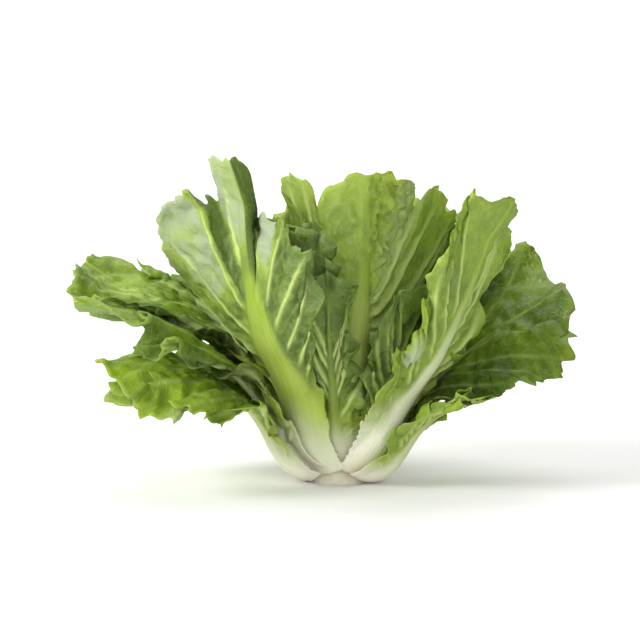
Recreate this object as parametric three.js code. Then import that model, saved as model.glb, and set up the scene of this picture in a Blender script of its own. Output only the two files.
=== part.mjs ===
// A head of escarole, cut from its root and standing on the cut: a solid stem core with leaves all round
// it. Millimetres, +Z up, origin at the centre of the cut face.
//
// The head opens like a bowl, so leaves are placed in polar terms about the origin: reach is the
// distance from the origin, lean the angle from the vertical, and azimuth the turn about +Z from +X.
// A blade is laid out flat, then wrapped on the cone of its own lean. At every reach an outer leaf leans
// more than the leaves inside it, which keeps the leaves apart.
import * as THREE from "three";
import { mergeVertices } from "three/addons/utils/BufferGeometryUtils.js";

// Driving dimensions of the head.
const CUT_RADIUS = 17; // the flat cut face that the head stands on
const CORE_HEIGHT = 38; // the stem inside the head, half an ellipsoid
const CORE_GAP = 0.8; // from the core to a leaf's foot, which clears the core's flat facets
const LEAN_REACHES = [20, 60, 110, 185]; // the reaches at which a leaf's four leans are given
const LEAST_WRAP = 0.2; // sine of the lean below which a blade wraps no tighter
const BLADE = 1.1; // thickness of a blade
const RIB = { depth: 2.4, tipDepth: 0.5, half: 11, tipHalf: 2.5 }; // how the midrib stands out below
const FOOT_HALF = 19; // half-width of a leaf's foot, where it clasps the core

// Where the side veins start on the midrib, and where they end on the margin, from foot to tip. Along
// is in shares of the leaf's length, out in shares of the blade's half-width beyond the stalk's.
const VEINS = [
  { start: 0.0, along: 0.0, out: 0.0 },
  { start: 0.07, along: 0.12, out: 0.0 },
  { start: 0.14, along: 0.26, out: 0.1 },
  { start: 0.22, along: 0.42, out: 0.42 },
  { start: 0.3, along: 0.58, out: 0.77 },
  { start: 0.38, along: 0.73, out: 0.98 },
  { start: 0.46, along: 0.87, out: 0.9 },
  { start: 0.54, along: 0.96, out: 0.55 },
  { start: 0.62, along: 1.0, out: 0.0 },
];
const STATIONS = [0.3, 0.65, 1]; // points along a side vein, as shares of its length

// One leaf per row, outermost first. The leans are at LEAN_REACHES, in degrees, and the reach is that of
// the tip. Pairs are for the clockwise and the counter-clockwise side of the midrib: the blade's
// half-width, and the curl, which is the extra lean of its margin in degrees. Tilt is the lean that the
// blade gains across its half-width, counter-clockwise. Fold is how deep it folds along every other vein.
// Lobes, for each side, are where the margin swings out or in: the place in the veins' order from 0 to 1,
// the spread in that order, and how much longer the blade is there.
const COLUMNS = ["name", "azimuth", "leans", "reach", "half", "curl", "tilt", "fold", "lobes"];
const LEAVES = [
  ["leaf_left_low", 190, [79, 52, 52, 68], 152, [44, 56], [3, 14], 0, 3,
    [[[0.9, 0.1, -8]], [[0.42, 0.08, 6], [0.76, 0.1, -10]]]],
  ["leaf_right_low", 336, [79, 56.5, 58, 59], 110, [24, 20], [0, 0], 0, 2],
  ["leaf_back_low", 98, [79, 51, 48, 50], 156, [46, 48], [3, 3], 0, 3],
  ["leaf_left_ribbed", 194, [68, 46, 44.5, 53], 184, [40, 46], [0, 9], -2, 3],
  ["leaf_right_outer", 4, [68, 46, 45, 49], 174, [54, 64], [13, -2], -5, 3,
    [[[0.34, 0.12, 12], [0.74, 0.1, -14]], [[0.87, 0.1, 24]]]],
  ["leaf_back_right", 93, [67.5, 45, 43, 45], 166, [46, 46], [2, 2], 0, 3],
  ["leaf_front_fan", 222, [58, 36, 33, 24], 215, [58, 42], [8, 0], 0, 5,
    [[[0.55, 0.12, 26], [0.9, 0.05, -20]], [[0.78, 0.06, -10], [0.9, 0.05, -34]]]],
  ["leaf_front_right", 319, [57.5, 44.5, 42.5, 35.5], 208, [32, 26], [0, 0], 0, 3,
    [
      [[0.33, 0.08, 10], [0.46, 0.06, 10], [0.64, 0.08, -8], [0.86, 0.12, 8]],
      [[0.5, 0.1, -6], [0.9, 0.1, -8]],
    ]],
  ["leaf_back_right_middle", 45, [58, 38, 36, 36], 178, [42, 44], [0, 0], 0, 2],
  ["leaf_back_left", 137, [57, 41, 42, 51], 174, [40, 44], [0, 0], 3, 2],
  ["leaf_left_tip", 163, [48, 36.5, 37.5, 50.5], 204, [34, 45], [0, 0], 3, 3,
    [[[0.9, 0.06, -18]], [[0.68, 0.14, 14]]]],
  ["leaf_front_narrow", 262, [49, 31, 28, 24], 138, [16, 11], [0, 0], 0, 1],
  ["leaf_right_middle", 352, [50, 36, 33, 31], 182, [42, 42], [0, 0], 0, 2],
  ["leaf_back_middle", 78, [48, 34, 31, 30], 176, [42, 42], [0, 0], 0, 2],
  ["leaf_front_left_middle", 228, [42, 28.5, 24.5, 20.5], 166, [36, 38], [0, 0], 0, 1.5],
  ["leaf_right_front_middle", 325, [42, 31, 28, 26], 134, [28, 30], [0, 0], 0, 1.5],
  ["leaf_right_back_middle", 39, [41, 30.5, 27, 25], 176, [38, 38], [0, 0], 0, 1.5],
  ["leaf_back_left_middle", 120, [40, 31, 28, 26], 158, [40, 40], [0, 0], 0, 1.5],
  ["leaf_front_centre", 289, [33.5, 22.5, 18.5, 15], 190, [56, 62], [0, 8], 0, 1.5,
    [[[0.82, 0.08, 8]], []]],
  ["leaf_left_middle", 188, [33.5, 24, 20.5, 17.5], 162, [36, 36], [0, 0], 0, 1.5],
  ["leaf_back_inner", 104, [32, 25, 22, 21], 170, [36, 36], [0, 0], 0, 1.5],
  ["leaf_right_inner", 32, [32, 23.5, 19, 16], 172, [34, 34], [0, 0], 0, 1.5],
  ["leaf_front_left_inner", 232, [25, 17, 14, 12], 150, [24, 26], [0, 0], 0, 1],
  ["leaf_front_right_inner", 318, [25, 15.5, 12, 10], 168, [26, 26], [0, 0], 0, 1],
  ["leaf_back_right_inner", 48, [24, 18.5, 16, 15], 162, [28, 28], [0, 0], 0, 1],
  ["leaf_back_left_inner", 142, [24, 18, 15, 13.5], 150, [28, 26], [0, 0], 0, 1],
  ["leaf_front_inner", 275, [17.5, 11, 8.5, 7], 156, [20, 20], [0, 0], 0, 0.6],
  ["leaf_left_inner", 187, [17.5, 12.5, 10, 9], 154, [20, 20], [0, 0], 0, 0.6],
  ["leaf_back_heart", 96, [16.5, 13, 11.5, 11], 154, [22, 22], [0, 0], 0, 0.6],
  ["leaf_right_heart", 5, [17, 12, 10, 9], 154, [20, 20], [0, 0], 0, 0.6],
  ["leaf_heart_left", 215, [10.5, 7, 5.5, 4], 146, [15, 15], [0, 0], 0, 0.4],
  ["leaf_heart_right", 335, [10.5, 7.5, 5.5, 4], 140, [15, 15], [0, 0], 0, 0.4],
  ["leaf_heart_back", 95, [10, 7, 5.5, 4.5], 136, [15, 15], [0, 0], 0, 0.4],
].map((row) => Object.fromEntries(row.map((value, i) => [COLUMNS[i], value])));

const LEAF_GREEN = new THREE.Color(0x7d9a3f);
const HEART_YELLOW = new THREE.Color(0xd7dc8c);
const CORE_WHITE = new THREE.Color(0xd9d6b8);

const mix = THREE.MathUtils.lerp;
const radians = THREE.MathUtils.degToRad;

// The value at x of the smooth curve through the points (xs, ys), held level past its ends.
function curveThrough(xs, ys, x) {
  const last = xs.length - 1;
  if (x <= xs[0]) return ys[0];
  if (x >= xs[last]) return ys[last];
  const slope = (i) => {
    const a = Math.max(i - 1, 0);
    const b = Math.min(i + 1, last);
    return (ys[b] - ys[a]) / (xs[b] - xs[a]);
  };
  let i = 0;
  while (x > xs[i + 1]) i++;
  const span = xs[i + 1] - xs[i];
  const t = (x - xs[i]) / span;
  const fromStart = ys[i] * (1 + 2 * t) + slope(i) * span * t;
  const fromEnd = ys[i + 1] * (3 - 2 * t) - slope(i + 1) * span * (1 - t);
  return fromStart * (1 - t) ** 2 + fromEnd * t ** 2;
}

// The reach of the core's surface at a lean in radians.
const coreReach = (lean) => 1 / Math.hypot(Math.sin(lean) / CUT_RADIUS, Math.cos(lean) / CORE_HEIGHT);

const midribLean = (leaf, reach) => radians(curveThrough(LEAN_REACHES, leaf.leans, reach));

// The reach at which a leaf's midrib leaves the core.
function footReach(leaf) {
  let reach = CUT_RADIUS;
  for (let i = 0; i < 8; i++) reach = coreReach(midribLean(leaf, reach)) + CORE_GAP;
  return reach;
}

// A point of the head from a point of the flat blade: x along the midrib from the foot, y across it,
// counter-clockwise side positive, and sink the distance by which the blade sinks outwards there.
function wrap(leaf, x, y, sink = 0) {
  const along = leaf.start + x;
  const reach = Math.hypot(along, y);
  const rib = midribLean(leaf, reach);
  const turn = Math.atan2(y, along) / Math.max(Math.sin(rib), LEAST_WRAP);
  const side = y < 0 ? 0 : 1;
  const across = y / leaf.half[side];
  const lean = rib + radians(leaf.curl[side] * across ** 2 + leaf.tilt * across) + sink / reach;
  return new THREE.Vector3(
    reach * Math.sin(lean) * Math.cos(radians(leaf.azimuth) + turn),
    reach * Math.sin(lean) * Math.sin(radians(leaf.azimuth) + turn),
    reach * Math.cos(lean),
  );
}

// The direction that a blade's inner side faces at a point of the flat blade.
function innerNormal(leaf, x, y) {
  const step = 0.5;
  const lengthways = wrap(leaf, x + step, y).sub(wrap(leaf, x - step, y));
  const crossways = wrap(leaf, x, y + step).sub(wrap(leaf, x, y - step));
  return lengthways.cross(crossways).normalize();
}

// The inner and outer surface points of a leaf at one share of one side vein.
function leafPoints(leaf, row, share, side) {
  const vein = VEINS[row];
  const length = leaf.reach - leaf.start;
  const stalk = mix(leaf.foot, leaf.foot * 0.75, Math.min(vein.along / 0.3, 1)) * (row < VEINS.length - 1);
  const margin = stalk + (leaf.half[side < 0 ? 0 : 1] - stalk) * vein.out;
  const lobes = leaf.lobes ? leaf.lobes[side < 0 ? 0 : 1] : [];
  const gaussian = (at, spread) => Math.exp(-(((row / (VEINS.length - 1) - at) / spread) ** 2));
  const atTip = row === VEINS.length - 1;
  const extra = atTip ? 0 : lobes.reduce((sum, [at, spread, more]) => sum + more * gaussian(at, spread), 0);
  const grown = share * (1 + (extra / Math.hypot(length * (vein.along - vein.start), margin)) * share ** 2);
  const x = length * mix(vein.start, vein.along, grown);
  const y = side * margin * grown;
  const tip = mix(vein.start, vein.along, share);
  const ribHalf = mix(RIB.half, RIB.tipHalf, tip) * (leaf.foot / FOOT_HALF);
  const ribDepth = mix(RIB.depth, RIB.tipDepth, Math.sqrt(tip)) * (leaf.foot / FOOT_HALF);
  const rib = ribDepth * Math.max(0, 1 - (y / ribHalf) ** 2);
  const sink = leaf.fold * Math.min(2 * vein.along, 1) * share ** 1.5 * (row % 2 ? -1 : 1);
  const middle = wrap(leaf, x, y, sink);
  const inward = innerNormal(leaf, x, y);
  const skin = (offset) => clearCore(middle.clone().addScaledVector(inward, offset));
  return [skin(BLADE / 2), skin(-BLADE / 2 - rib)];
}

// Moves a point that lies in the core, or against it, straight out from the origin until it is clear.
function clearCore(point) {
  const lean = Math.acos(point.z / point.length());
  const least = coreReach(lean) + CORE_GAP;
  return point.length() < least ? point.setLength(least) : point;
}

// A closed geometry of a leaf: its inner and outer skins on one grid, joined round the foot and margin.
function leafGeometry(leaf) {
  const positions = [];
  const rows = VEINS.length;
  const shares = [0, ...STATIONS];
  const pairs = [-1, 1].map((side) =>
    VEINS.map((_, row) => shares.map((share) => leafPoints(leaf, row, share, side))),
  );
  const triangle = (...corners) => corners.forEach((p) => positions.push(p.x, p.y, p.z));
  const quad = (a, b, c, d, flip) => {
    const [q, r] = flip ? [d, b] : [b, d];
    triangle(a, q, c);
    triangle(a, c, r);
  };
  pairs.forEach((grid, sideIndex) => {
    const flip = sideIndex === 0;
    for (let row = 0; row < rows - 1; row++) {
      for (let i = 0; i < shares.length - 1; i++) {
        const corners = [grid[row][i], grid[row + 1][i], grid[row + 1][i + 1], grid[row][i + 1]];
        quad(...corners.map((p) => p[0]), flip);
        quad(...corners.map((p) => p[1]), !flip);
      }
      const [near, far] = [grid[row].at(-1), grid[row + 1].at(-1)];
      quad(near[0], far[0], far[1], near[1], flip);
    }
    for (let i = 0; i < shares.length - 1; i++) {
      const [near, far] = [grid[0][i], grid[0][i + 1]];
      quad(near[0], far[0], far[1], near[1], flip);
    }
  });
  const geometry = new THREE.BufferGeometry();
  geometry.setAttribute("position", new THREE.Float32BufferAttribute(positions, 3));
  return mergeVertices(geometry, 1e-3);
}

function leafMesh(leaf, index) {
  const share = index / (LEAVES.length - 1);
  const placed = { ...leaf, foot: mix(FOOT_HALF, FOOT_HALF * 0.2, share ** 0.8) };
  placed.start = footReach(placed);
  const color = LEAF_GREEN.clone().lerp(HEART_YELLOW, share ** 2);
  const material = new THREE.MeshStandardMaterial({ color, roughness: 0.5, metalness: 0 });
  const mesh = new THREE.Mesh(leafGeometry(placed), material);
  mesh.name = leaf.name;
  return mesh;
}

function coreMesh() {
  const steps = 8;
  const profile = [new THREE.Vector2(0, 0)];
  for (let i = 0; i <= steps; i++) {
    const angle = (i / steps) * (Math.PI / 2);
    profile.push(new THREE.Vector2(CUT_RADIUS * Math.cos(angle), CORE_HEIGHT * Math.sin(angle)));
  }
  profile.at(-1).x = 0;
  const geometry = new THREE.LatheGeometry(profile, 24);
  const material = new THREE.MeshStandardMaterial({ color: CORE_WHITE, roughness: 0.6, metalness: 0 });
  const mesh = new THREE.Mesh(geometry, material);
  mesh.name = "stem_core";
  mesh.rotation.x = Math.PI / 2;
  return mesh;
}

const head = new THREE.Group();
head.add(coreMesh(), ...LEAVES.map(leafMesh));

export default head;
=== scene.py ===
"""Dresses a head of escarole: the CAD leaves give each leaf's place, and this script gives its look.

Each leaf is laid out flat along its side veins, with its lobes and teeth. It is then folded, wrapped on its
own cone, and grown longer along its margin than it can lie flat, so that it ruffles. Rib, veins, puffed cells
and creases are raised on it last. The rows of the leaf table are those of the CAD model, but for a few that
are some millimetres off, to make room for teeth and ruffles.
"""

import bpy
import numpy as np
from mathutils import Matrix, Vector


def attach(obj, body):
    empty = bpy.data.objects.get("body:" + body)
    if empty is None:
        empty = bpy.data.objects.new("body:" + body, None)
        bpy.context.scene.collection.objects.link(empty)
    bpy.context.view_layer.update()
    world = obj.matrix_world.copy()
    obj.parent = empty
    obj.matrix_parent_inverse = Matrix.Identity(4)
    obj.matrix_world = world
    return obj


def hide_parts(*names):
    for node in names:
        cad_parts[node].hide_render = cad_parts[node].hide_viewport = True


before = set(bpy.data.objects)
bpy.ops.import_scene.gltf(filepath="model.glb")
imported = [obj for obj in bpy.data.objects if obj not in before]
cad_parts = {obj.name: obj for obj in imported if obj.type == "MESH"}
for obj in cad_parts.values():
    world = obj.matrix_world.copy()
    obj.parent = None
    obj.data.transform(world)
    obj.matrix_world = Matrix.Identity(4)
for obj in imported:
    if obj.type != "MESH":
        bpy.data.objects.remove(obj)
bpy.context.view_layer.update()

MM = 0.001

# The head's driving dimensions, in millimetres, as the CAD model has them.
CUT_RADIUS = 17
CORE_HEIGHT = 38
CORE_GAP = 0.8
LEAN_REACHES = [20, 60, 110, 185]  # the reaches at which a leaf's four leans are given
LEAST_WRAP = 0.2  # sine of the lean below which a blade wraps no tighter round its cone

# What the looks add to them, in millimetres.
FOOT_HALF = 24  # half the width of the outermost leaf's foot, where it clasps the core
HEEL_LENGTH = 20  # how far up from its foot a leaf's heel bends
BLADE_THICKNESS = 0.6  # at the midrib, and half as much at the margin
SKIN_GAP = 0.3  # least distance from the core, and least height
TOOTH_PITCH = 7.0  # about how far it is from one tooth to the next
SCALLOP = 4  # how far the margin swings in broad scallops
RIPPLE = 1.6  # the uneven push that starts the ruffles
VEIN_HALF = (1.5, 0.6)  # half the width of a side vein, at the midrib and at the margin
CELL = (8.5, 6.5)  # length and width of the small puffed cells

# Side veins from foot to tip: start on the midrib and end on the margin as shares of the leaf's length,
# and the margin's distance out as a share of the blade's half-width beyond the stalk's.
VEIN_START = [0.0, 0.07, 0.14, 0.22, 0.3, 0.38, 0.46, 0.54, 0.62]
VEIN_ALONG = [0.0, 0.12, 0.26, 0.42, 0.58, 0.73, 0.87, 0.96, 1.0]
VEIN_OUT = [0.0, 0.0, 0.1, 0.42, 0.77, 0.98, 0.9, 0.55, 0.0]
VEIN_KNOTS = np.linspace(0, 1, len(VEIN_START))  # where these are given, in the veins' order

# Places and distances in the veins' order, which runs from 0 at the foot to 1 at the tip.
BLADE_START = 0.12  # where the stalk gives way to the blade
FIRST_VEIN = 0.22  # the first side vein that shows
VEIN_STRAY = 0.22  # how far a side vein strays from its even place, divided by how many there are
PLEAT_EDGE = 0.008  # how far a named pleat's crease is rounded each way

# The midrib from foot to tip: places as shares of the leaf's length, and its half-width and its height
# there as shares of the leaf's rib_half and rib.
RIB_ALONG = [0, 0.05, 0.14, 0.35, 0.6, 0.85, 1]
RIB_WIDTHS = [1.9, 1.7, 1.25, 0.8, 0.42, 0.2, 0.1]
RIB_HEIGHTS = [0.5, 1.0, 1.25, 0.85, 0.5, 0.25, 0.1]

FOLDS = 4  # shallow pleats on each side of a leaf that has no named ones
COARSE = (76, 22)  # rows along a leaf and columns out from its midrib, while it grows
UPSAMPLE = [(1, 1), (2, 1), (3, 2)]  # how many times finer the finished leaf is each way, by its detail
GROWTH_STEPS = 260


def leaf(name, azimuth, leans, reach, half, curl, tilt, fold, **style):
    """One leaf: its row of the CAD table, and the looks that differ from those of a plain leaf.

    Lengths are in millimetres. Pairs are for the clockwise and the counter-clockwise side. A vein is given
    by its place in the veins' order.

    azimuth   the way it points, in degrees counter-clockwise from +X
    leans     its midrib's leans from the vertical at LEAN_REACHES, in degrees
    reach     how far its tip is from the middle of the cut
    half      the half-widths of its two sides
    curl      how much further each margin leans, in degrees
    tilt      how much further the counter-clockwise margin leans, and the clockwise one less, in degrees
    fold      depth of its shallow pleats, where pleats names none
    detail    how fine its mesh is, 0 to 2
    growth    how much longer the margin grows than the blade it borders, as a share
    ruffle    how far the margin may leave the blade's plain surface
    crumple   height of the creases between the veins
    blister   height of the small puffed cells
    tooth     depth of each margin's teeth
    wing      how far the crinkled wings stand out along the stalk
    rib       how far the midrib stands out below, and rib_half half its width, at the foot
    rib_ends  where the midrib fades into the blade, as a share of the leaf's length
    vein      how far the side veins stand out, veins their number on each side, and last_vein the place of
              the last one in the veins' order
    bow       how far the side veins bow out before they turn to the tip, as a share of their length
    heel      how many degrees further the foot leans, down the flank of the core
    pale      how white the rib is, 0 to 1
    shade     how light the blade is, 0 to 1: its own green, with painted light and shade
    lobes     for each side, (vein, spread, extra): near that vein the blade is longer by extra
    pleats    for each side, (vein, rise): where the blade folds, and how far outwards at the margin
    patches   (side, vein, share, spreads, height): where fine blisters crowd
    turned    for each side, (vein, spread, width, rise): where the margin turns back over the blade, how
              much of the vein turns, and how far outwards it stands
    widths    for each side, (vein, times): how many times as wide as a plain leaf's the blade is
    slant     how far the pleats slide counter-clockwise for each millimetre that they rise
    tones     for each side, (vein, shade): painted light and shade on the blade there, with painted shadow
          in deep green below 0, and a pale painted sheen above 1
    foot      half the stalk's width at the core, or 0 for what its place in the head gives
    seed      what its scattered details start from, or 0 likewise
    """
    plain = dict(
        name=name, azimuth=azimuth, leans=leans, reach=reach, half=half, curl=curl, tilt=tilt, fold=fold,
        detail=0, growth=1.5, ruffle=9.0, crumple=1.0, blister=1.4, tooth=(3.0, 3.0), wing=5.0, rib=4.2,
        rib_half=8.5, rib_ends=1.2, vein=1.0, veins=8, last_vein=0.93, bow=0.1, heel=0, pale=0.5, shade=0.5,
        lobes=((), ()), pleats=None, patches=(), turned=((), ()), widths=None, slant=0, tones=None, foot=0,
        seed=0,
    )
    return {**plain, **style}


# Outermost first. A leaf's shade and tone lists hold painted light and shade as well as its own green.
LEAVES = [
    leaf("leaf_left_low", 190, [79, 52, 52, 68], 152, [44, 56], [3, 14], 0, 3,
         detail=2, crumple=1.7, growth=1.7, tooth=(3, 4.5), wing=0, rib_half=10, vein=1.9, pale=0.6,
         shade=0.8, seed=3,
         # Painted highlights: pale streaks across the counter-clockwise side.
         tones=([(0, 0.8), (1, 0.8)],
                [(0, 0.8), (0.35, 0.75), (0.45, 1.15), (0.55, 0.7), (0.7, 1.2), (0.85, 0.75), (1, 0.9)]),
         lobes=([(0.45, 0.12, 12), (0.9, 0.1, -4)], [(0.42, 0.08, 6), (0.76, 0.1, -10)])),
    leaf("leaf_right_low", 336, [79, 56.5, 58, 59], 110, [24, 20], [0, 0], 0, 2,
         detail=1, pale=0.7, shade=0.8, wing=2),
    leaf("leaf_back_low", 98, [79, 51, 48, 50], 156, [46, 48], [3, 3], 0, 3, detail=1),
    leaf("leaf_left_ribbed", 194, [68, 46, 44.5, 53], 184, [40, 46], [0, 9], -2, 3,
         detail=1, vein=1.6, crumple=1.3, shade=0.35, pale=0.9,
         # Painted shadow in deep green across the middle of the blade.
         tones=([(0, 0.5), (0.24, 0.4), (0.38, -0.35), (0.5, -0.35), (0.62, 0.35), (1, 0.4)],
                [(0, 0.6), (0.26, 0.6), (0.4, -0.2), (0.5, -0.35), (0.62, 0.35), (1, 0.4)]),
         lobes=([(0.62, 0.15, 12)], [(0.5, 0.15, 10), (0.85, 0.14, -18)])),
    leaf("leaf_right_outer", 4, [68, 46, 45, 49], 170, [54, 64], [13, -2], -5, 3,
         detail=2, growth=1.1, ruffle=7, tooth=(5, 5), shade=0.2, veins=7,
         # Painted shadow in deep green over most of the blade, where the leaf in front shades it.
         tones=([(0, -0.3), (0.5, -0.1), (0.7, 0.1), (0.85, 0.45), (1, 0.4)],
                [(0, -0.35), (0.8, -0.35), (0.9, 0.35), (1, 0.4)]),
         lobes=([(0.32, 0.1, 24), (0.74, 0.1, -14), (0.9, 0.06, -6)], [(0.82, 0.06, 4), (0.9, 0.07, 14)])),
    leaf("leaf_back_right", 93, [67.5, 45, 43, 45], 166, [46, 46], [2, 2], 0, 3, detail=1),
    leaf("leaf_front_fan", 222, [58, 36, 33, 24], 211, [58, 42], [8, 0], 0, 5,
         detail=2, growth=0.45, ruffle=4, crumple=0.9, blister=1.0, tooth=(2.6, 3), rib=3.4, rib_half=24,
         rib_ends=0.75, vein=0.9, veins=7, pale=0.0, shade=0.6, heel=10, slant=1.1,
         widths=([(0, 1), (0.3, 1.1), (0.5, 1.55), (0.6, 1.5), (0.7, 1.22), (0.8, 0.92), (0.9, 0.9),
                  (0.95, 0.65), (1, 0.8)],
                 [(0, 1), (0.3, 1.05), (0.5, 1.15), (0.7, 1), (0.8, 0.9), (0.9, 0.8), (1, 0.8)]),
         lobes=([(0.8, 0.07, -4), (0.875, 0.03, -16), (0.915, 0.02, -16)],
                [(0.74, 0.1, -16), (0.88, 0.07, -20), (0.93, 0.022, -20)]),
         pleats=([(0, 0), (0.22, -3), (0.34, 2), (0.38, -3), (0.46, -8), (0.58, -2), (0.83, 9),
                  (0.912, -9), (1, 6)],
                 [(0, 0), (0.3, -1), (0.48, 4), (0.56, 0), (0.66, 5), (0.72, 2), (0.87, 6), (0.925, -13),
                  (1, 6)]),
         # Painted light and shade: pale painted sheen on the planes that face the key lamp, greener planes
         # facing away, and painted shadow in the deepest creases.
         tones=([(0, 0.4), (0.6, 0.3), (0.68, 1.25), (0.8, 1.3), (0.84, -0.1), (0.9, 0), (0.915, 1.3),
                 (1, 1.2)],
                [(0, 0.4), (0.5, -0.1), (0.8, 0.1), (0.85, 1.3), (0.915, 1.3), (0.925, -0.6),
                 (0.938, -0.5), (0.95, -0.1), (0.985, 0), (1, 0.4)]),
         patches=[(1, 0.62, 0.7, (0.16, 0.25), 1.2)]),
    leaf("leaf_front_right", 319, [57.5, 44.5, 42.5, 35.5], 208, [32, 26], [0, 0], 0, 3,
         detail=2, growth=0.9, ruffle=7, crumple=0.8, tooth=(7, 1.0), rib=5.5, rib_half=12, vein=0.6,
         veins=7, pale=1.0, shade=0.65, heel=10,
         lobes=([(0.33, 0.08, 10), (0.46, 0.06, 22), (0.64, 0.08, -8), (0.86, 0.12, 8)],
                [(0.5, 0.1, -6), (0.9, 0.1, -8)]),
         turned=([(0.46, 0.07, 0.14, 4)], [])),
    leaf("leaf_back_right_middle", 45, [58, 38, 36, 36], 178, [42, 44], [0, 0], 0, 2),
    leaf("leaf_back_left", 137, [57, 41, 42, 51], 174, [40, 44], [0, 0], 3, 2, detail=1),
    leaf("leaf_left_tip", 163, [48, 36.5, 37.5, 50.5], 204, [34, 45], [0, 0], 3, 3,
         detail=2, growth=1.0, blister=2.2, tooth=(3.5, 3.5), shade=0.45, vein=3.0, veins=10,
         # Painted shadow in deep green over the lower half of the blade.
         tones=([(0, -0.4), (0.5, -0.4), (0.64, 0.3), (1, 0.6)],
                [(0, -0.4), (0.5, -0.4), (0.64, 0.3), (1, 0.6)]),
         lobes=([(0.9, 0.06, -18)], [(0.68, 0.14, 14)])),
    leaf("leaf_front_narrow", 262, [49, 31, 28, 24], 138, [16, 11], [0, 0], 0, 1,
         detail=1, growth=1.3, ruffle=5, crumple=1.6, rib=0.5, rib_half=5, vein=0.5, veins=6,
         tooth=(2.5, 2.5), pale=0.0, shade=0.1, foot=20, heel=8,
         pleats=([(0, 0), (0.14, 3), (0.24, -3), (0.36, 4), (0.46, -4), (0.6, 4), (0.7, -4), (0.82, 3),
                  (1, -3)],
                 [(0, 0), (0.18, -3), (0.3, 3), (0.4, -4), (0.54, 3), (0.66, -4), (0.78, 4), (0.9, 1),
                  (1, -3)])),
    leaf("leaf_right_middle", 352, [50, 36, 33, 31], 182, [42, 42], [0, 0], 0, 2),
    leaf("leaf_back_middle", 78, [48, 34, 31, 30], 176, [42, 42], [0, 0], 0, 2),
    leaf("leaf_front_left_middle", 228, [42, 28.5, 24.5, 20.5], 166, [36, 38], [0, 0], 0, 1.5,
         ruffle=4, shade=0),
    leaf("leaf_right_front_middle", 325, [42, 31, 28, 26], 134, [28, 30], [0, 0], 0, 1.5,
         growth=1.0, ruffle=6, shade=0),
    leaf("leaf_right_back_middle", 39, [41, 30.5, 27, 25], 176, [38, 38], [0, 0], 0, 1.5),
    leaf("leaf_back_left_middle", 120, [40, 31, 28, 26], 158, [40, 40], [0, 0], 0, 1.5),
    leaf("leaf_front_centre", 289, [33.5, 22.5, 18.5, 15], 185, [56, 62], [0, 8], 0, 1.5,
         detail=2, growth=0.9, ruffle=6, crumple=0.6, blister=0.8, vein=3.6, veins=11, last_vein=0.9,
         bow=0.31, rib_half=19, rib_ends=0.8, tooth=(5, 5), pale=0.1, shade=0.75,
         patches=[(1, 0.96, 0.82, (0.035, 0.25), 7)],
         # A pale painted sheen near the tip of the counter-clockwise side.
         tones=([(0, 0.7), (1, 0.75)], [(0, 0.6), (0.8, 0.65), (0.88, 1.12), (0.95, 1.12), (1, 0.75)]),
         lobes=([(0.82, 0.08, 8), (0.93, 0.03, -7)], [(0.9, 0.03, -6)]),
         widths=([(0, 1), (0.3, 0.7), (0.5, 0.55), (0.7, 0.65), (0.8, 0.95), (0.9, 1.05), (1, 1)],
                 [(0, 1), (1, 1)])),
    leaf("leaf_left_middle", 188, [33.5, 24, 20.5, 17.5], 162, [36, 36], [0, 0], 0, 1.5),
    leaf("leaf_back_inner", 104, [32, 25, 22, 21], 170, [36, 36], [0, 0], 0, 1.5),
    leaf("leaf_right_inner", 32, [32, 23.5, 19, 16], 172, [34, 34], [0, 0], 0, 1.5),
    leaf("leaf_front_left_inner", 232, [25, 17, 14, 12], 150, [24, 26], [0, 0], 0, 1),
    leaf("leaf_front_right_inner", 318, [25, 15.5, 12, 10], 168, [26, 26], [0, 0], 0, 1),
    leaf("leaf_back_right_inner", 48, [24, 18.5, 16, 15], 162, [28, 28], [0, 0], 0, 1),
    leaf("leaf_back_left_inner", 142, [24, 18, 15, 13.5], 150, [28, 28], [0, 0], 0, 1),
    leaf("leaf_front_inner", 275, [17.5, 11, 8.5, 7], 156, [20, 20], [0, 0], 0, 0.6),
    leaf("leaf_left_inner", 187, [17.5, 12.5, 10, 9], 154, [20, 20], [0, 0], 0, 0.6),
    leaf("leaf_back_heart", 96, [16.5, 13, 11.5, 11], 154, [22, 22], [0, 0], 0, 0.6),
    leaf("leaf_right_heart", 5, [17, 12, 10, 9], 154, [20, 20], [0, 0], 0, 0.6),
    leaf("leaf_heart_left", 215, [10.5, 7, 5.5, 4], 146, [15, 15], [0, 0], 0, 0.4),
    leaf("leaf_heart_right", 335, [10.5, 7.5, 5.5, 4], 140, [15, 15], [0, 0], 0, 0.4),
    leaf("leaf_heart_back", 95, [10, 7, 5.5, 4.5], 136, [15, 15], [0, 0], 0, 0.4),
]


def mix(a, b, t):
    return a + (b - a) * t


def smooth(t):
    t = np.clip(t, 0, 1)
    return t * t * (3 - 2 * t)


def near_to(u, at, spread, power=2):
    """1 at one place, falling off over the spread on both sides of it, more abruptly with a higher power."""
    return np.exp(-(((u - at) / spread) ** power))


def curve_through(xs, ys, x):
    """The smooth curve through the points (xs, ys) at each x, held level past its ends."""
    xs, ys = np.asarray(xs, float), np.asarray(ys, float)
    slopes = np.empty_like(ys)
    slopes[1:-1] = (ys[2:] - ys[:-2]) / (xs[2:] - xs[:-2])
    slopes[0] = (ys[1] - ys[0]) / (xs[1] - xs[0])
    slopes[-1] = (ys[-1] - ys[-2]) / (xs[-1] - xs[-2])
    x = np.clip(x, xs[0], xs[-1])
    i = np.clip(np.searchsorted(xs, x, side="right") - 1, 0, len(xs) - 2)
    span = xs[i + 1] - xs[i]
    t = (x - xs[i]) / span
    from_start = ys[i] * (1 + 2 * t) + slopes[i] * span * t
    from_end = ys[i + 1] * (3 - 2 * t) - slopes[i + 1] * span * (1 - t)
    return from_start * (1 - t) ** 2 + from_end * t**2


def scattered(i, j, start, times=(127.1, 311.7)):
    """A number for each cell (i, j) whose fraction has no pattern: the far digits of a sine."""
    return np.sin(i * times[0] + j * times[1] + start) * 43758.5453


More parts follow.
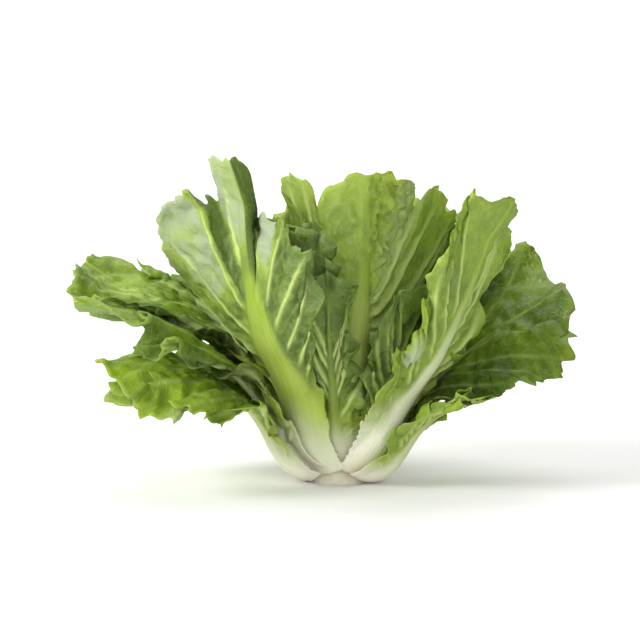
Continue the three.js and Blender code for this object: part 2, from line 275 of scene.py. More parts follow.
def noise(x, y, seed):
    """Smooth noise from -1 to 1, with one cell per unit."""
    x, y = np.broadcast_arrays(np.asarray(x, float), np.asarray(y, float))
    i, j = np.floor(x), np.floor(y)
    fx, fy = smooth(x - i), smooth(y - j)

    def corner(a, b):
        h = scattered(i + a, j + b, seed * 74.7)
        return 2 * (h - np.floor(h)) - 1

    return mix(mix(corner(0, 0), corner(1, 0), fx), mix(corner(0, 1), corner(1, 1), fx), fy)


def ridges(x, y, seed, depth=2.4):
    """1 on lines that wander through smooth noise, and lower beside them."""
    return 1 - depth * np.abs(noise(x, y, seed))


def cells(x, y, seed):
    """Distance to the nearest and the second nearest of points scattered one per unit cell."""
    i, j = np.floor(x), np.floor(y)
    near = np.full(x.shape, 9.0)
    next_near = np.full(x.shape, 9.0)
    for a in (-1, 0, 1):
        for b in (-1, 0, 1):
            h = scattered(i + a, j + b, seed * 31.3)
            k = scattered(i + a, j + b, seed * 17.9, (269.5, 183.3))
            px, py = i + a + h - np.floor(h), j + b + k - np.floor(k)
            d = np.hypot(x - px, y - py)
            next_near = np.minimum(next_near, np.maximum(near, d))
            near = np.minimum(near, d)
    return near, next_near


def core_reach(lean):
    """How far the core's surface is from the middle of the cut, at a lean in radians."""
    return 1 / np.hypot(np.sin(lean) / CUT_RADIUS, np.cos(lean) / CORE_HEIGHT)


def midrib_lean(lf, reach):
    return np.radians(curve_through(LEAN_REACHES, lf["leans"], reach))


def wrap(lf, x, y, sink):
    """Points of the head, in millimetres, from points of a leaf's flat blade. It sinks outwards by sink."""
    along = lf["start"] + x
    reach = np.hypot(along, y)
    rib = midrib_lean(lf, reach)
    turn = np.arctan2(y, along) / np.maximum(np.sin(rib), LEAST_WRAP)
    side = (y >= 0).astype(int)
    across = y / np.asarray(lf["half"], float)[side]
    curl = np.asarray(lf["curl"], float)[side]
    lean = rib + np.radians(curl * across**2 + lf["tilt"] * across) + sink / reach
    lean = lean + np.radians(lf["heel"]) * np.clip(1 - x / HEEL_LENGTH, 0, 1) ** 2
    azimuth = np.radians(lf["azimuth"]) + turn
    flat = reach * np.sin(lean)
    return np.stack([flat * np.cos(azimuth), flat * np.sin(azimuth), reach * np.cos(lean)], -1)


def folded(lf, flat):
    """The leaf before it grows: wrapped on its cone, and folded in pleats along its side veins."""
    u, s = flat["u"], flat["s"]
    along = curve_through(VEIN_KNOTS, VEIN_ALONG, u)
    if lf["pleats"] is None:
        zigzag = 1 - 4 * np.abs((u * FOLDS) % 1.0 - 0.5)
        rise = -lf["fold"] * np.sin(np.pi / 2 * zigzag)
    else:
        rise = np.zeros_like(u)
        for side in (0, 1):
            places, heights = np.array(lf["pleats"][side], float).T
            soft = sum(np.interp(u + step, places, heights) for step in (-PLEAT_EDGE, 0, PLEAT_EDGE)) / 3
            rise = np.where(flat["side"] == side, soft, rise)
    sink = rise * np.minimum(2 * along, 1) * s**1.4
    for side in (0, 1):
        for at, spread, width, lift in lf["turned"][side]:
            near = near_to(u, at, spread) * (flat["side"] == side)
            sink = sink + lift * near * smooth((s - 1 + width) / (0.7 * width))
    return wrap(lf, flat["x"], flat["y"] + lf["slant"] * sink, sink)


def flat_place(lf, u, s, side):
    """Where a share of a side vein lies on the flat blade, with the leaf's lobes and teeth."""
    length = lf["reach"] - lf["start"]
    start, along, out = (curve_through(VEIN_KNOTS, k, u) for k in (VEIN_START, VEIN_ALONG, VEIN_OUT))
    foot = lf["foot"]
    stalk = mix(foot, foot * 0.75, np.minimum(along / 0.3, 1)) * smooth((1 - u) * 14)
    seed = lf["seed"] + side * 11
    margin = stalk + (lf["half"][side] - stalk) * np.clip(out, 0, 1)
    if lf["widths"]:
        margin = margin * curve_through(*np.transpose(lf["widths"][side]), u)
    vein_length = np.maximum(np.hypot(length * (along - start), margin), 4)
    # The margin swings in and out in broad scallops and named lobes, with forward teeth on them.
    run = u * length / TOOTH_PITCH
    extra = SCALLOP * noise(u * 9, 0, seed) * smooth((u - 0.15) * 5) * smooth((1 - u) * 6)
    for at, spread, more in lf["lobes"][side]:
        extra = extra + more * near_to(u, at, spread) * smooth((1 - u) * 16)
    saw = (run + 0.5 * noise(run * 0.6, 5, seed)) % 1.0
    tooth = (1 - saw) * (0.6 + 0.4 * noise(run * 0.5, 9, seed)) * smooth((u - 0.1) * 6)
    small = np.abs(noise(run * 3.1, 7, seed))
    extra = extra + (lf["tooth"][side] * (tooth + 0.35 * small)) * s**10
    share = s * (1 + extra / vein_length * s**2)
    # Past its crease, a turned margin runs back towards the midrib.
    for at, spread, width, _ in lf["turned"][side]:
        crease = (1 - width) * (1 + extra / vein_length * (1 - width) ** 2)
        back = near_to(u, at, spread, 4) * (s > 1 - width)
        share = mix(share, 2 * crease - share, back)
    crinkle = 0.6 + 0.4 * noise(run * 0.8, 3, seed)
    wing = lf["wing"] * smooth((u - 0.08) * 9) * smooth((0.55 - u) * 5) * crinkle
    x = length * mix(start, along, share - lf["bow"] * np.sin(np.pi * np.clip(share, 0, 1)))
    y = margin * share + wing * s**6
    return x, (1 if side else -1) * y


def sheet(lf, rows, cols):
    """The flat blade on a grid that follows its side veins. Both sides share one list of points, welded along
    the midrib and at the tip. Returns each side's grid of places in that list, and each point's place u in
    the veins' order, its share s of its vein, its side, and its x and y on the flat blade."""
    u, s = np.meshgrid(np.linspace(0, 1, rows + 1), np.linspace(0, 1, cols + 1), indexing="ij")
    index = np.zeros((2, rows + 1, cols + 1), int)
    index[0] = np.arange(u.size).reshape(u.shape)
    index[1, :, 0] = index[0, :, 0]
    index[1, -1] = index[0, -1]
    index[1, :-1, 1:] = u.size + np.arange(rows * cols).reshape(rows, cols)
    count = u.size + rows * cols
    points = {k: np.zeros(count) for k in ("u", "s", "side", "x", "y")}
    for side in (1, 0):
        x, y = flat_place(lf, u, s, side)
        for key, value in (("u", u), ("s", s), ("side", np.full(u.shape, side)), ("x", x), ("y", y)):
            points[key][index[side]] = value
    return index, points


def quads(index):
    """Faces of one skin, turned so that they face the inner side."""
    found = []
    for side in (0, 1):
        grid = index[side]
        a, b, c, d = grid[:-1, :-1], grid[1:, :-1], grid[1:, 1:], grid[:-1, 1:]
        corners = (a, b, c, d) if side else (a, d, c, b)
        found.append(np.stack([k.ravel() for k in corners], -1))
    return np.concatenate(found)


def normals(points, faces):
    a, b, c, d = (points[faces[:, k]] for k in range(4))
    face = np.cross(c - a, d - b)
    total = np.zeros_like(points)
    for k in range(4):
        for axis in range(3):
            total[:, axis] += np.bincount(faces[:, k], face[:, axis], len(points))
    return total / np.maximum(np.linalg.norm(total, axis=1, keepdims=True), 1e-12)


def springs(lf, index, flat, base):
    """The springs that hold a blade together, along, across and on both diagonals of its grid: the pairs of
    points that they join, and how long each wants to be once the blade has grown."""
    u, s = flat["u"], flat["s"]
    growth = 1 + lf["growth"] * (0.35 * s**2 + 0.65 * s**6) * smooth((u - BLADE_START) * 4)
    pairs, rests = [], []
    for side in (0, 1):
        g = index[side]
        a, b, c, d = g[:-1, :-1], g[1:, :-1], g[1:, 1:], g[:-1, 1:]
        lengthways = 0.5 * ((base[b] - base[a]) + (base[c] - base[d]))
        crossways = 0.5 * ((base[d] - base[a]) + (base[c] - base[b]))
        k = (growth[a] + growth[b] + growth[c] + growth[d]) / 4
        ll, cc = (lengthways**2).sum(-1) * k**2, (crossways**2).sum(-1)
        lc = (lengthways * crossways).sum(-1) * k
        for p, q, twice in ((a, c, 2), (b, d, -2)):
            pairs.append(np.stack([p.ravel(), q.ravel()], 1))
            rests.append(np.sqrt(np.maximum(ll + cc + twice * lc, 0)).ravel())
        for p, q, is_along in ((g[:-1, :], g[1:, :], True), (g[:, :-1], g[:, 1:], False)):
            length = np.linalg.norm(base[p] - base[q], axis=-1)
            if is_along:
                length = length * 0.5 * (growth[p] + growth[q])
            pairs.append(np.stack([p.ravel(), q.ravel()], 1))
            rests.append(length.ravel())
    pairs, rests = np.concatenate(pairs), np.concatenate(rests)
    keep = pairs[:, 0] != pairs[:, 1]
    return pairs[keep], rests[keep]


def grow(lf, index, flat, base):
    """Lets the blade grow longer along its margin than it can lie flat, so that it ruffles. Returns how far
    each point moves."""
    pairs, rests = springs(lf, index, flat, base)
    i, j = pairs.T
    count = len(base)
    valence = np.bincount(i, minlength=count) + np.bincount(j, minlength=count)
    weight = 1 / np.maximum(valence, 1)

    def gathered(at_i, at_j):
        """For each point, the sum of what its springs bring to their ends."""
        out = np.empty((count, 3))
        for axis in range(3):
            out[:, axis] = np.bincount(i, at_i[:, axis], count) + np.bincount(j, at_j[:, axis], count)
        return out

    def neighbours(values):
        return gathered(values[j], values[i]) * weight[:, None]

    inward = normals(base, quads(index))
    u, s, x, y = (flat[k] for k in ("u", "s", "x", "y"))
    seed = lf["seed"]
    push = RIPPLE * noise(x / 26, y / 26, seed) + RIPPLE * noise(x / 11, y / 11, seed + 1)
    moved = inward * (push * s**1.2)[:, None]
    # The blade is held near its midrib and at its foot, and all but free at its margin.
    hold = mix(0.35, 0.004, smooth(s * 1.6))[:, None]
    hold = np.maximum(hold, 0.5 * smooth((0.14 - u) / 0.1)[:, None])
    limit = 0.6 + lf["ruffle"] * s**1.5 * smooth(u * 3)
    for _ in range(GROWTH_STEPS):
        # The springs pull towards their lengths.
        place = base + moved
        gap = place[i] - place[j]
        length = np.linalg.norm(gap, axis=1)
        pull = gap * ((rests - length) / np.maximum(length, 1e-9))[:, None]
        moved += 0.85 * gathered(pull, -pull) * weight[:, None]
        # The blade resists sharp bends.
        soft = neighbours(moved) - moved
        softer = neighbours(soft) - soft
        moved += 0.04 * soft - 0.28 * softer
        moved *= 1 - hold
        # Ruffles rise no further than their limit.
        rise = (moved * inward).sum(1)
        capped = limit * np.tanh(rise / limit)
        moved += inward * ((capped - rise) * 0.5)[:, None]
    return moved


def finer(values, times):
    """A grid of values with times as many steps each way, on smooth curves through the old ones."""
    for axis in (0, 1):
        values = np.moveaxis(values, axis, 0)
        n = values.shape[0] - 1
        at = np.linspace(0, n, n * times[axis] + 1)
        i = np.minimum(at.astype(int), n - 1)
        t = (at - i).reshape((-1,) + (1,) * (values.ndim - 1))
        padded = np.concatenate([2 * values[:1] - values[1:2], values, 2 * values[-1:] - values[-2:-1]])
        a, b, c, d = (padded[i + k] for k in range(4))
        squared, cubed = 2 * a - 5 * b + 4 * c - d, 3 * b - a - 3 * c + d
        values = 0.5 * (2 * b + (c - a) * t + squared * t**2 + cubed * t**3)
        values = np.moveaxis(values, 0, axis)
    return values


def grown_blade(lf):
    """The middle surface of a leaf once it has grown: its grid, its flat blade and its points."""
    rows, cols = COARSE
    index, flat = sheet(lf, rows, cols)
    base = folded(lf, flat)
    moved = grow(lf, index, flat, base)
    times = UPSAMPLE[lf["detail"]]
    if times != (1, 1):
        fine_index, fine_flat = sheet(lf, rows * times[0], cols * times[1])
        fine_moved = np.zeros((len(fine_flat["u"]), 3))
        for side in (1, 0):
            fine_moved[fine_index[side]] = finer(moved[index[side]], times)
        index, flat, moved = fine_index, fine_flat, fine_moved
        base = folded(lf, flat)
    return index, flat, base + moved


def vein_lines(lf, side):
    """Where the side veins of one side run, as places in the veins' order."""
    rng = np.random.default_rng(lf["seed"] * 7 + side)
    count = lf["veins"]
    even = np.linspace(FIRST_VEIN, lf["last_vein"], count)
    return even + rng.uniform(-VEIN_STRAY, VEIN_STRAY, count) / count


def vein_spacing(index, flat):
    """How many millimetres, across a side vein, a whole step in the veins' order is at each point."""
    spacing = np.zeros(len(flat["u"]))
    for grid in (index[1], index[0]):
        rows, cols = grid.shape[0] - 1, grid.shape[1] - 1
        x_row, x_col = np.gradient(flat["x"][grid], 1 / rows, 1 / cols)
        y_row, y_col = np.gradient(flat["y"][grid], 1 / rows, 1 / cols)
        spacing[grid] = np.abs(x_row * y_col - y_row * x_col) / np.maximum(np.hypot(x_col, y_col), 1e-6)
    return spacing


def side_veins(lf, index, flat):
    """How far each point is from the nearest side vein, in millimetres across it, and how nearly it lies
    halfway between two of them, 0 to 1."""
    u, s, side = flat["u"], flat["s"], flat["side"]
    spacing = vein_spacing(index, flat)
    nearest = np.full(len(u), 99.0)
    between = np.zeros(len(u))
    for k in (0, 1):
        here = side == k
        lines = vein_lines(lf, k)
        wander = u[here] + 0.02 * noise(s[here] * 3, u[here] * 6, lf["seed"] + k)
        gaps = np.abs(wander[:, None] - lines[None, :])
        nearest[here] = gaps.min(1) * spacing[here]
        spot = np.interp(wander, lines, np.arange(len(lines)), left=-0.5, right=len(lines) - 0.5)
        between[here] = np.sin(np.pi * (spot % 1.0)) ** 2
    return nearest, between


def puffed(lf, flat, blade, between, near, vein, wide_vein):
    """How far the blade rises towards its inner side between the veins, more so in its small cells, with its
    creases and its patches of fine blisters."""
    u, s, x, y, side = (flat[k] for k in ("u", "s", "x", "y", "side"))
    seed = lf["seed"]
    puff = 1.6 * lf["pleat"] * between * smooth(s * 3) * (1 - 0.45 * s) * blade
    puff = puff + lf["blister"] * (0.45 - near) * 1.6 * smooth(s * 4) * blade
    for patch_side, at, out, spread, height in lf["patches"]:
        here = np.exp(-(((u - at) / spread[0]) ** 2) - ((s - out) / spread[1]) ** 2) * (side == patch_side)
        puff = puff + height * here * ridges(x / 3.2, y / 3.2, seed + 12, 2.2) * (1 - vein)
    crease = ridges(x / 13, y / 9, seed + 6) + 0.7 * ridges(x / 6, y / 5, seed + 7)
    creases = lf["crumple"] * (crease + 0.5 * noise(x / 3.5, y / 3.5, seed + 4)) * smooth(s * 3) * blade
    return puff + creases * (1 - 0.8 * wide_vein)


def shades(lf, flat):
    """How light the blade is painted at each point: its shade, painted light and shade, and turned margins.
    """
    u, s, side = flat["u"], flat["s"], flat["side"]
    shade = np.full(len(u), float(lf["shade"]))
    if lf["tones"]:
        for k in (0, 1):
            places, values = np.array(lf["tones"][k], float).T
            tone = np.interp(u, places, values)
            # Painted light and painted sheen keep away from the midrib.
            tone = mix(np.minimum(tone, 0.45), tone, smooth((s - 0.3) * 4))
            shade = np.where(side == k, mix(shade, tone, smooth(s * 4)), shade)
    # A turned margin is painted pale, with the painted sheen of a shade above 1.
    for k in (0, 1):
        for at, spread, width, _ in lf["turned"][k]:
            back = near_to(u, at, spread, 4) * smooth((s - 1 + width) * 20) * (side == k)
            shade = mix(shade, 1.4, back)
    return shade


def surface(lf):
    """The finished leaf: its grid, its flat blade, its inner and outer skins, and the two sets of marks that
    its material reads. They are vein, share of the vein, place along the leaf and rib, and then paleness,
    cell, for the painted shade in the seams between cells, and shade, which holds painted light and shade."""
    index, flat, middle = grown_blade(lf)
    faces = quads(index)
    inward = normals(middle, faces)
    u, s, x, y, side = (flat[k] for k in ("u", "s", "x", "y", "side"))
    length = lf["reach"] - lf["start"]
    seed = lf["seed"]

    # Side veins, and the net round the small cells between them.
    nearest, between = side_veins(lf, index, flat)
    blade = smooth((u - BLADE_START) * 6)
    vein_half = mix(*VEIN_HALF, s) * (0.65 + 0.35 * min(lf["vein"], 2))
    vein = np.exp(-((nearest / vein_half) ** 2)) * smooth((1.02 - s) * 4) * smooth((u - BLADE_START) * 9)
    wide_vein = np.exp(-((nearest / (2.6 * vein_half)) ** 4)) * smooth((u - BLADE_START) * 9)
    bent_x, bent_y = x + 3 * noise(x / 8, y / 8, seed + 2), y + 3 * noise(x / 8, y / 8, seed + 3)
    near, next_near = cells(bent_x / CELL[0], bent_y / CELL[1], seed)
    net = np.clip(1 - (next_near - near) / 0.16, 0, 1) * smooth(s * 5) * blade

    # The rib narrows to the tip, and veins and cells fade out on it.
    along = x / length
    rib_half = lf["rib_half"] * curve_through(RIB_ALONG, RIB_WIDTHS, along)
    rib_rise = lf["rib"] * curve_through(RIB_ALONG, RIB_HEIGHTS, along)
    rib = np.clip(1 - (y / rib_half) ** 2, 0, 1) ** 1.3 * smooth((lf["rib_ends"] - along) * 5)
    off_rib = smooth((np.abs(y) / rib_half - 0.75) * 1.6)
    vein, net = vein * off_rib, net * off_rib

    # Both skins follow the puffs and the frill of the margin, and rib, veins and net stand out below.
    puff = puffed(lf, flat, blade, between, near, vein, wide_vein)
    frill = 1.4 * noise(u * length / 6.5, 2 * side, seed + 8) + 0.8 * noise(u * length / 3, 9, seed + 9)
    frill = frill * s**6 * smooth((u - 0.1) * 6) * np.minimum(lf["growth"], 1)
    middle = middle + inward * (puff * off_rib + frill)[:, None]
    inward = normals(middle, faces)
    thick = BLADE_THICKNESS * (1 - 0.5 * s**3)
    outer_rise = thick / 2 + rib * rib_rise + lf["vein"] * (vein * (1 - 0.6 * s) + 0.07 * net)
    inner_rise = thick / 2 - 0.25 * vein * (1 - s) + 0.35 * rib
    inner = middle + inward * inner_rise[:, None]
    outer = middle - inward * outer_rise[:, None]

    drawn = np.clip(vein * (0.7 + 0.3 * lf["vein"]) + 0.12 * lf["vein"] * net, 0, 1)
    marks = np.stack([drawn, s, np.clip(along, 0, 1), rib * min(1, lf["rib"] / 1.5)], -1)
    # The shade mark holds painted light and shade as well as the blade's own green.
    more = np.stack([np.full(len(u), lf["pale"]), np.clip(near, 0, 1), shades(lf, flat)], -1)
    return index, flat, inner, outer, marks, more


def rim(index):
    """The loop of points round a leaf's foot and margin, in order."""
    foot = index[0, 0, :0:-1]
    right_foot = index[1, 0, :]
    left, right = index[0, :, -1], index[1, :, -1]
    tip = index[0, -1, -1]
    return np.concatenate([foot, right_foot[:-1], right[:-1], [tip], left[-2:0:-1]])


def cleared(points):
    """Points with those in the core moved straight out of it, and then those too low moved up."""
    length = np.linalg.norm(points, axis=1)
    lean = np.arccos(np.clip(points[:, 2] / length, -1, 1))
    least = core_reach(lean) + SKIN_GAP
    points = points * np.maximum(1, least / length)[:, None]
    points[:, 2] = np.maximum(points[:, 2], SKIN_GAP)
    return points


def build_leaf(lf, material):
    """One closed body: the inner skin, the outer skin, and a wall round the margin between them."""
    index, flat, inner, outer, marks, more = surface(lf)
    faces = quads(index)
    count = len(inner)
    loop = rim(index)
    following = np.roll(loop, -1)
    wall = np.stack([loop, following, following + count, loop + count], -1)
    every = np.concatenate([faces, faces[:, ::-1] + count, wall])
    points = np.concatenate([cleared(inner), cleared(outer)]) * MM
    mesh = bpy.data.meshes.new(lf["name"] + "_look")
    mesh.from_pydata(points.tolist(), [], every.tolist())
    # The material's patterns lie on the flat blade, and one unit of them is 100 mm.
    uv = mesh.uv_layers.new(name="flat")
    corners = np.empty(len(mesh.loops), np.int32)
    mesh.loops.foreach_get("vertex_index", corners)
    place = np.stack([np.tile(flat["x"], 2), np.tile(flat["y"], 2)], -1) * MM * 10
    uv.data.foreach_set("uv", place[corners].astype(np.float32).ravel())
    # The last mark is 0 on the inner skin and 1 on the outer one.
    under = np.repeat([0.0, 1.0], count)
    more = np.concatenate([np.tile(more, (2, 1)), under[:, None]], 1)
    for name, values in (("marks", np.tile(marks, (2, 1))), ("more", more)):
        colour = mesh.color_attributes.new(name, "FLOAT_COLOR", "POINT")
        colour.data.foreach_set("color", values.astype(np.float32).ravel())
    mesh.polygons.foreach_set("use_smooth", np.ones(len(mesh.polygons), bool))
    mesh.materials.append(material)
    # Where a grid closes to a point or a line it leaves faces of no area, which this drops.
    mesh.validate()
    piece = bpy.data.objects.new(lf["name"] + "_look", mesh)
    bpy.context.scene.collection.objects.link(piece)
    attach(piece, "root")
    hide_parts(lf["name"])
    return piece


class Nodes:
    """A material's node tree, with short calls for the nodes used here."""

    def __init__(self, name):
        self.material = bpy.data.materials.new(name)
        self.material.use_nodes = True
        self.tree = self.material.node_tree
        self.shader = self.tree.nodes["Principled BSDF"]

    def add(self, kind, **settings):
        """A node with the named sockets fed and the other named options set."""
        node = self.tree.nodes.new(kind)
        for key, value in settings.items():
            if key in node.inputs:
                self.feed(node.inputs[key], value)
            else:
                setattr(node, key, value)
        return node

    def feed(self, socket, value):
        if isinstance(value, bpy.types.NodeSocket):
            self.tree.links.new(value, socket)
        else:
            socket.default_value = value

    def feed_all(self, sockets, values):
        for socket, value in zip(sockets, values):
            self.feed(socket, value)

    def math(self, operation, *values, clamp=False):
        node = self.tree.nodes.new("ShaderNodeMath")
        node.operation = operation
        node.use_clamp = clamp
        self.feed_all(node.inputs, values)
        return node.outputs[0]

    def ramp(self, value, low, high):
        """0 where the value is at most low, 1 where it is at least high, and smooth between."""
        node = self.tree.nodes.new("ShaderNodeMapRange")
        node.interpolation_type = "SMOOTHSTEP"
        sockets = (node.inputs[key] for key in ("Value", "From Min", "From Max", "To Min", "To Max"))
        self.feed_all(sockets, (value, low, high, 0.0, 1.0))
        return node.outputs[0]

    def blend(self, factor, a, b):
        node = self.tree.nodes.new("ShaderNodeMix")
        node.data_type = "RGBA"
        # Its colour sockets come after those for numbers and vectors.
        self.feed_all((node.inputs[0], node.inputs[6], node.inputs[7]), (factor, a, b))
        return node.outputs[2]


def rgb(r, g, b):
    """An sRGB colour in 0 to 255 as the linear one that Blender works in."""
    c = np.array([r, g, b]) / 255
    linear = np.where(c <= 0.04045, c / 12.92, ((c + 0.055) / 1.055) ** 2.4)
    return (*linear.tolist(), 1.0)


# Painted shadow, where the shade mark is below 0.
PAINTED_SHADOW_GREEN = rgb(28, 42, 6)
# A pale painted sheen, where the shade mark is above 1.
PAINTED_SHEEN = rgb(152, 164, 134)
UNDERSIDE = rgb(176, 194, 128)
VEIN = rgb(190, 207, 122)
GREEN_RIB = rgb(162, 184, 70)
WHITE_RIB = rgb(222, 226, 192)
RIB_STREAK = rgb(222, 226, 176)
WHITE_FOOT = rgb(244, 243, 224)
TAN_FOOT = rgb(230, 220, 196)


def leaf_material(name, dark, light, lower):
    """The finish of a leaf: dark and light blade, lower for its part near the stalk."""
    n = Nodes(name)
    marks = n.add("ShaderNodeVertexColor", layer_name="marks")
    more = n.add("ShaderNodeVertexColor", layer_name="more")
    vein, share, along = n.add("ShaderNodeSeparateColor", Color=marks.outputs["Color"]).outputs
    rib = marks.outputs["Alpha"]
    pale, cell, shade = n.add("ShaderNodeSeparateColor", Color=more.outputs["Color"]).outputs
    under = more.outputs["Alpha"]
    uv = n.add("ShaderNodeUVMap", uv_map="flat").outputs["UV"]
    broad = n.add("ShaderNodeTexNoise", Vector=uv, Scale=3.5, Detail=4.0, Roughness=0.6).outputs[0]
    fine = n.add("ShaderNodeTexNoise", Vector=uv, Scale=38.0, Detail=3.0, Roughness=0.6).outputs[0]
    # The finest veins are a net of bent lines, which starts beside the midrib.
    warp = n.add("ShaderNodeTexNoise", Vector=uv, Scale=9.0, Detail=2.0)
    bent = n.add("ShaderNodeVectorMath", operation="MULTIPLY_ADD")
    n.feed_all(bent.inputs, (warp.outputs["Color"], (0.05, 0.05, 0.0), uv))
    net = n.add("ShaderNodeTexVoronoi", feature="DISTANCE_TO_EDGE", Vector=bent.outputs[0], Scale=26.0)
    lines = n.math("SUBTRACT", 1.0, n.ramp(net.outputs["Distance"], 0.0, 0.08))
    lines = n.math("MULTIPLY", lines, n.ramp(share, 0.04, 0.3))
    # Its shade mark sets how light a blade is, its own green together with painted light and shade, and it is
    # mottled. It has painted shade in the seams between its small cells, and is paler below.
    mottle = n.math("MULTIPLY", n.ramp(broad, 0.3, 0.72), 0.7)
    tone = n.math("ADD", mottle, n.math("SUBTRACT", shade, 0.35), clamp=True)
    blade = n.blend(tone, dark, light)
    blade = n.blend(n.math("MULTIPLY", n.ramp(fine, 0.42, 0.75), 0.25), blade, light)
    blade = n.blend(n.math("MULTIPLY", n.ramp(cell, 0.1, 0.7), 0.25), blade, dark)
    blade = n.blend(n.math("MULTIPLY", under, 0.15), blade, UNDERSIDE)
    # A shade below 0 is painted shadow in deep green, and one above 1 a patchy pale painted sheen.
    blade = n.blend(n.math("MULTIPLY", shade, -2.5, clamp=True), blade, PAINTED_SHADOW_GREEN)
    painted_sheen = n.math("SUBTRACT", shade, 1.0, clamp=True)
    patchy = n.math("MULTIPLY_ADD", n.ramp(broad, 0.36, 0.6), 2.4, 1.1)
    blade = n.blend(n.math("MULTIPLY", painted_sheen, patchy, clamp=True), blade, PAINTED_SHEEN)
    low = n.math("SUBTRACT", 1.0, n.ramp(n.math("ADD", along, n.math("MULTIPLY", broad, 0.12)), 0.16, 0.5))
    blade = n.blend(n.math("MULTIPLY", low, 0.7), blade, lower)
    veined = n.blend(n.math("MULTIPLY", lines, 0.1), blade, VEIN)
    veined = n.blend(n.math("MULTIPLY", vein, n.math("MULTIPLY_ADD", under, 0.45, 0.4)), veined, VEIN)
    # The rib is white or yellow-green at its foot and greener towards the tip, with pale streaks along it.
    streak = n.add("ShaderNodeMapping", Vector=uv, Scale=(2.0, 40.0, 1.0))
    streaks = n.add("ShaderNodeTexNoise", Vector=streak.outputs[0], Scale=2.0, Detail=3.0).outputs[0]
    near_rib = n.blend(pale, GREEN_RIB, WHITE_RIB)
    greener = n.blend(n.ramp(along, 0.3, 0.8), near_rib, light)
    greener = n.blend(n.math("MULTIPLY", n.ramp(streaks, 0.45, 0.62), 0.14), greener, RIB_STREAK)
    ribbed = n.blend(n.math("MULTIPLY", n.ramp(rib, 0.05, 0.6), 0.9), veined, greener)
    # The foot is white, tan next to the cut, and white further up where the rib is pale.
    reach = n.math("ADD", along, n.math("MULTIPLY", share, 0.08))
    reach = n.math("SUBTRACT", reach, n.math("MULTIPLY", pale, 0.1))
    white = n.math("SUBTRACT", 1.0, n.ramp(n.math("ADD", reach, n.math("MULTIPLY", broad, 0.06)), 0.06, 0.31))
    pith = n.blend(n.ramp(reach, -0.1, 0.06), TAN_FOOT, WHITE_FOOT)
    shader = n.shader
    n.feed(shader.inputs["Base Color"], n.blend(white, ribbed, pith))
    rough = n.math("ADD", 0.42, n.math("MULTIPLY", fine, 0.2))
    rough = n.math("ADD", rough, n.math("MULTIPLY", under, 0.06))
    n.feed(shader.inputs["Roughness"], rough)
    shader.inputs["Specular IOR Level"].default_value = 0.32
    shader.inputs["Subsurface Weight"].default_value = 0.25
    shader.inputs["Subsurface Radius"].default_value = (0.9, 1.0, 0.35)
    shader.inputs["Subsurface Scale"].default_value = 0.002
    height = n.math("ADD", n.math("MULTIPLY", lines, 0.4), n.math("MULTIPLY", fine, 0.6))
    height = n.math("ADD", height, n.math("MULTIPLY", n.math("MULTIPLY", streaks, rib), 1.6))
    bump = n.add("ShaderNodeBump", Strength=0.45, Distance=0.0009, Height=height)
    n.feed(shader.inputs["Normal"], bump.outputs[0])
    return n.material


def core_material():
    """White flesh, tan where it was cut and has dried."""
    n = Nodes("cut_stem")
    place = n.add("ShaderNodeTexCoord").outputs["Object"]
    mottle = n.add("ShaderNodeTexNoise", Vector=place, Scale=90.0, Detail=5.0, Roughness=0.65).outputs[0]
    grain = n.add("ShaderNodeTexNoise", Vector=place, Scale=320.0, Detail=3.0).outputs[0]
    height = n.add("ShaderNodeSeparateXYZ", Vector=place).outputs["Z"]
    uneven = n.math("ADD", height, n.math("MULTIPLY", mottle, 0.003))
    dried = n.math("SUBTRACT", 1.0, n.ramp(uneven, 0.001, 0.003))
    flesh = n.blend(n.ramp(mottle, 0.35, 0.7), rgb(242, 236, 216), rgb(232, 222, 198))
    tan = n.blend(n.ramp(grain, 0.4, 0.75), rgb(230, 216, 192), rgb(212, 192, 164))
    n.feed(n.shader.inputs["Base Color"], n.blend(dried, flesh, tan))
    n.feed(n.shader.inputs["Roughness"], n.math("ADD", 0.4, n.math("MULTIPLY", mottle, 0.25)))
    n.shader.inputs["Subsurface Weight"].default_value = 0.3
    n.shader.inputs["Subsurface Scale"].default_value = 0.004
    bump = n.add("ShaderNodeBump", Strength=0.4, Distance=0.0008, Height=n.math("ADD", mottle, grain))
    n.feed(n.shader.inputs["Normal"], bump.outputs[0])
    return n.material


def facing(place, target):
    """The rotation that turns a lamp or the camera from its place to its target."""
    return (Vector(target) - Vector(place)).to_track_quat("-Z", "Y").to_euler()


def light(name, place, target, power, size):
    data = bpy.data.lights.new(name, "AREA")
    data.energy = power
    data.size = size
    lamp = bpy.data.objects.new(name, data)
    lamp.location = place
    lamp.rotation_euler = facing(place, target)
    bpy.context.scene.collection.objects.link(lamp)


def make_floor():
    """A pale floor that runs back and up into a wall in one sweep, so that no horizon shows, in metres."""
    n = Nodes("floor")
    place = n.add("ShaderNodeTexCoord").outputs["Object"]
    grain = n.add("ShaderNodeTexNoise", Vector=place, Scale=60.0, Detail=3.0).outputs[0]
    n.feed(n.shader.inputs["Base Color"], n.blend(grain, (0.91, 0.91, 0.9, 1), (0.93, 0.93, 0.92, 1)))
    n.shader.inputs["Roughness"].default_value = 0.8
    front, back, bend, top, half_width = -3.0, 1.2, 0.8, 4.0, 3.5
    profile = [(front, 0.0), (back, 0.0)]
    for a in np.linspace(0, np.pi / 2, 24)[1:]:
        profile.append((back + bend * np.sin(a), bend - bend * np.cos(a)))
    profile.append((back + bend, top))
    points = [(float(x), float(y), float(z)) for y, z in profile for x in (-half_width, half_width)]
    faces = [(2 * i, 2 * i + 1, 2 * i + 3, 2 * i + 2) for i in range(len(profile) - 1)]
    mesh = bpy.data.meshes.new("floor")
    mesh.from_pydata(points, [], faces)
    mesh.polygons.foreach_set("use_smooth", np.ones(len(faces), bool))
    mesh.materials.append(n.material)
    floor = bpy.data.objects.new("floor", mesh)
    bpy.context.scene.collection.objects.link(floor)


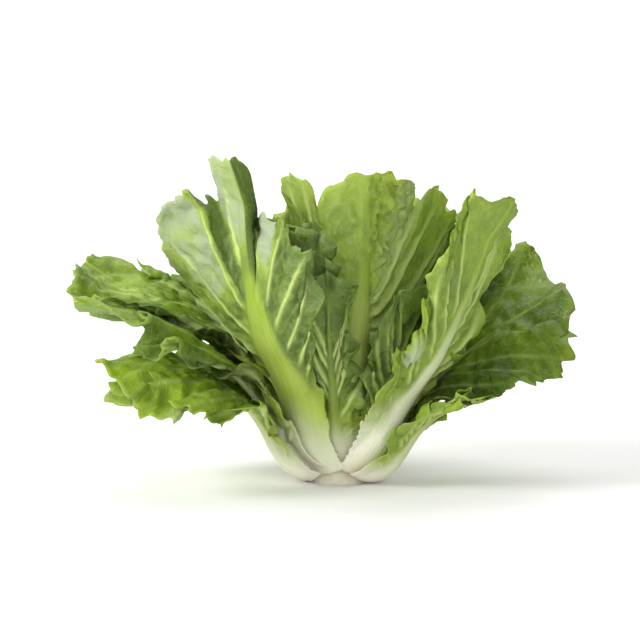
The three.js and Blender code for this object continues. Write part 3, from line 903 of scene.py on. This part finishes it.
def make_studio():
    """A dim white room and four large lamps, with places and sizes in metres and powers in watts."""
    world = bpy.data.worlds.new("studio")
    world.use_nodes = True
    background = world.node_tree.nodes["Background"]
    background.inputs["Color"].default_value = (1, 1, 1, 1)
    background.inputs["Strength"].default_value = 0.17
    bpy.context.scene.world = world
    light("key", (-1.15, -0.5, 0.8), (0, 0, 0.1), 24, 0.7)
    light("front", (0.3, -1.4, 0.6), (0, 0, 0.05), 8, 0.8)
    light("top", (0.1, 0.5, 1.4), (0, 0.2, 0.1), 9, 1.2)
    light("wall", (0, 0.9, 1.7), (0, 2.0, 0.5), 22, 1.6)
    bpy.context.scene.view_settings.view_transform = "Standard"


def make_camera():
    """The photograph's view, a little from above, with distance and frame width in metres."""
    distance, frame_width, rise = 1.2, 0.3863, np.radians(5)
    data = bpy.data.cameras.new("camera")
    data.sensor_width = 36
    data.lens = 36 * distance / frame_width
    camera = bpy.data.objects.new("camera", data)
    target = Vector((-0.012, 0, 0.098))
    camera.location = target + Vector((0, -distance * np.cos(rise), distance * np.sin(rise)))
    camera.rotation_euler = facing(camera.location, target)
    bpy.context.scene.collection.objects.link(camera)
    bpy.context.scene.camera = camera


def place_in_head(lf, order):
    """Adds what a leaf's order in the head gives it: its foot and its seed where it names none, the reach at
    which it leaves the core, and forms that weaken towards the heart."""
    lf["foot"] = lf["foot"] or mix(FOOT_HALF, FOOT_HALF * 0.2, (order / (len(LEAVES) - 1)) ** 0.8)
    lf["seed"] = lf["seed"] or 3 + order * 5
    # The lean depends on the reach, and the core's reach on the lean: a few rounds settle both.
    reach = CUT_RADIUS
    for _ in range(8):
        reach = core_reach(midrib_lean(lf, reach)) + CORE_GAP
    lf["start"] = float(reach)
    inwards = order / len(LEAVES)
    lf["rib"] *= mix(1, 0.4, inwards)
    lf["rib_half"] *= mix(1, 0.45, inwards)
    lf["ruffle"] *= mix(1, 0.45, inwards)
    lf["pleat"] = mix(1, 0.5, inwards)
    lf["wing"] *= mix(1, 0.3, inwards)


make_camera()
make_floor()
make_studio()

green = leaf_material("leaf_green", rgb(64, 92, 10), rgb(140, 166, 40), rgb(162, 182, 50))
light_green = leaf_material("leaf_light", rgb(74, 104, 14), rgb(150, 174, 50), rgb(172, 188, 60))
yellow_green = leaf_material("leaf_heart", rgb(150, 168, 66), rgb(196, 204, 106), rgb(212, 214, 132))

for order, lf in enumerate(LEAVES):
    place_in_head(lf, order)
    piece = build_leaf(lf, green if order < 16 else light_green if order < 24 else yellow_green)

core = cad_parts["stem_core"]
core.data.materials.clear()
core.data.materials.append(core_material())
